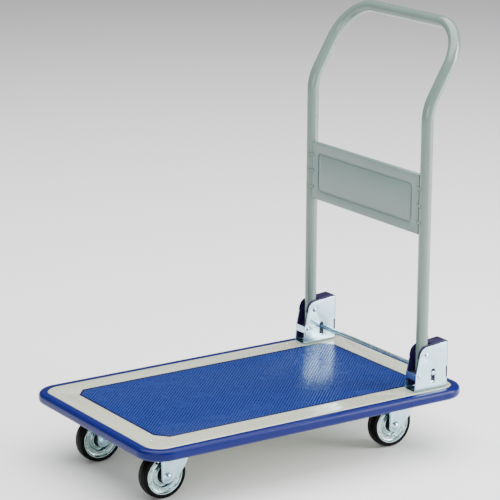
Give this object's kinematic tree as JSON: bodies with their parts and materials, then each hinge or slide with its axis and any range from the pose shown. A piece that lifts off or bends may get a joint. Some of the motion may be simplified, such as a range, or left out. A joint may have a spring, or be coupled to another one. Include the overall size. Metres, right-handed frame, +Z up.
{
  "type": "folding platform cart",
  "caption": "Flat steel platform cart on casters with a soft edge bumper, a ribbed mat and a cranked tube push handle that folds down over the deck.",
  "frame": {"origin": "on the floor, under the middle of the cart's overall box, from the back of the grip to the front of the bumper", "axes": "+X forward, away from the push handle; +Y to the cart's left; +Z up"},
  "size_m": [0.7986, 0.49, 0.9152],
  "materials": {
    "deck_paint": "glossy cream-grey stove enamel",
    "channel_paint": "same enamel, thinner, under the deck",
    "bumper_blue": "smooth soft vinyl with a satin shine",
    "mat_blue": "embossed vinyl sheet with a fine raised grain",
    "handle_paint": "semi-gloss grey-green enamel",
    "zinc_plate": "bright zinc plating with a faint blue tint",
    "spring_steel": "oiled spring steel",
    "liner_plastic": "dark navy moulded plastic with a soft sheen",
    "black_plastic": "black moulded plastic",
    "tyre_rubber": "solid black rubber"
  },
  "bodies": {
    "cart": {"platform_tray": "deck_paint", "edge_bumper": "bumper_blue", "deck_mat": "mat_blue", "front_cross_channel": "channel_paint", "rear_cross_channel": "channel_paint", "bracket_backing_plates": "channel_paint", "deck_rivets": "zinc_plate", "caster_bolts": "zinc_plate", "caster_nuts": "zinc_plate", "left_bracket": "zinc_plate", "right_bracket": "zinc_plate", "pivot_pins": "zinc_plate", "stop_pins": "zinc_plate", "stop_pin_sleeves": "zinc_plate", "bracket_bolts": "zinc_plate", "bracket_nuts": "zinc_plate", "front_axle_bolts": "zinc_plate", "front_axle_nuts": "zinc_plate", "front_axle_sleeves": "zinc_plate", "swivel_kingpins": "zinc_plate", "left_bracket_liner": "liner_plastic", "right_bracket_liner": "liner_plastic", "lock_bar_springs": "spring_steel", "swivel_balls": "spring_steel", "front_left_fork": "zinc_plate", "rear_left_top_plate": "zinc_plate", "front_right_fork": "zinc_plate", "rear_right_top_plate": "zinc_plate"},
    "handle": {"handle_tube": "handle_paint", "handle_pivot_bushes": "zinc_plate", "handle_end_plugs": "black_plastic", "handle_panel": "handle_paint", "handle_panel_tabs": "handle_paint"},
    "lock_pedal": {"lock_bar": "zinc_plate", "lock_bar_clips": "spring_steel"},
    "rear_left_swivel": {"rear_left_fork": "zinc_plate", "rear_left_axle_bolt": "zinc_plate", "rear_left_axle_nut": "zinc_plate", "rear_left_axle_sleeve": "zinc_plate"},
    "rear_left_wheel": {"rear_left_tyre": "tyre_rubber", "rear_left_wheel_discs": "zinc_plate", "rear_left_wheel_rivets": "zinc_plate", "rear_left_hub_bearing": "black_plastic"},
    "front_left_wheel": {"front_left_tyre": "tyre_rubber", "front_left_wheel_discs": "zinc_plate", "front_left_wheel_rivets": "zinc_plate", "front_left_hub_bearing": "black_plastic"},
    "rear_right_swivel": {"rear_right_fork": "zinc_plate", "rear_right_axle_bolt": "zinc_plate", "rear_right_axle_nut": "zinc_plate", "rear_right_axle_sleeve": "zinc_plate"},
    "rear_right_wheel": {"rear_right_tyre": "tyre_rubber", "rear_right_wheel_discs": "zinc_plate", "rear_right_wheel_rivets": "zinc_plate", "rear_right_hub_bearing": "black_plastic"},
    "front_right_wheel": {"front_right_tyre": "tyre_rubber", "front_right_wheel_discs": "zinc_plate", "front_right_wheel_rivets": "zinc_plate", "front_right_hub_bearing": "black_plastic"}
  },
  "joints": [
    {"name": "handle_fold", "type": "hinge", "parent": "cart", "child": "handle", "pos_m": [-0.29065, 0, 0.22], "axis": [0, 1, 0], "range_deg": [0, 90]},
    {"name": "lock_bar_press", "type": "slide", "parent": "cart", "child": "lock_pedal", "axis": [0, 0, -1], "range_m": [0, 0.017], "stiffness_N_per_m": 800, "springref_m": -0.012, "deforming": ["lock_bar_springs"]},
    {"name": "rear_left_caster_swivel", "type": "hinge", "parent": "cart", "child": "rear_left_swivel", "pos_m": [-0.29465, 0.127, 0.11], "axis": [0, 0, 1], "continuous": true},
    {"name": "rear_left_wheel_spin", "type": "hinge", "parent": "rear_left_swivel", "child": "rear_left_wheel", "pos_m": [-0.26665, 0.127, 0.05], "axis": [0, 1, 0], "continuous": true},
    {"name": "front_left_wheel_spin", "type": "hinge", "parent": "cart", "child": "front_left_wheel", "pos_m": [0.30135, 0.127, 0.05], "axis": [0, 1, 0], "continuous": true},
    {"name": "rear_right_caster_swivel", "type": "hinge", "parent": "cart", "child": "rear_right_swivel", "pos_m": [-0.29465, -0.127, 0.11], "axis": [0, 0, 1], "continuous": true},
    {"name": "rear_right_wheel_spin", "type": "hinge", "parent": "rear_right_swivel", "child": "rear_right_wheel", "pos_m": [-0.26665, -0.127, 0.05], "axis": [0, 1, 0], "continuous": true},
    {"name": "front_right_wheel_spin", "type": "hinge", "parent": "cart", "child": "front_right_wheel", "pos_m": [0.30135, -0.127, 0.05], "axis": [0, 1, 0], "continuous": true}
  ]
}
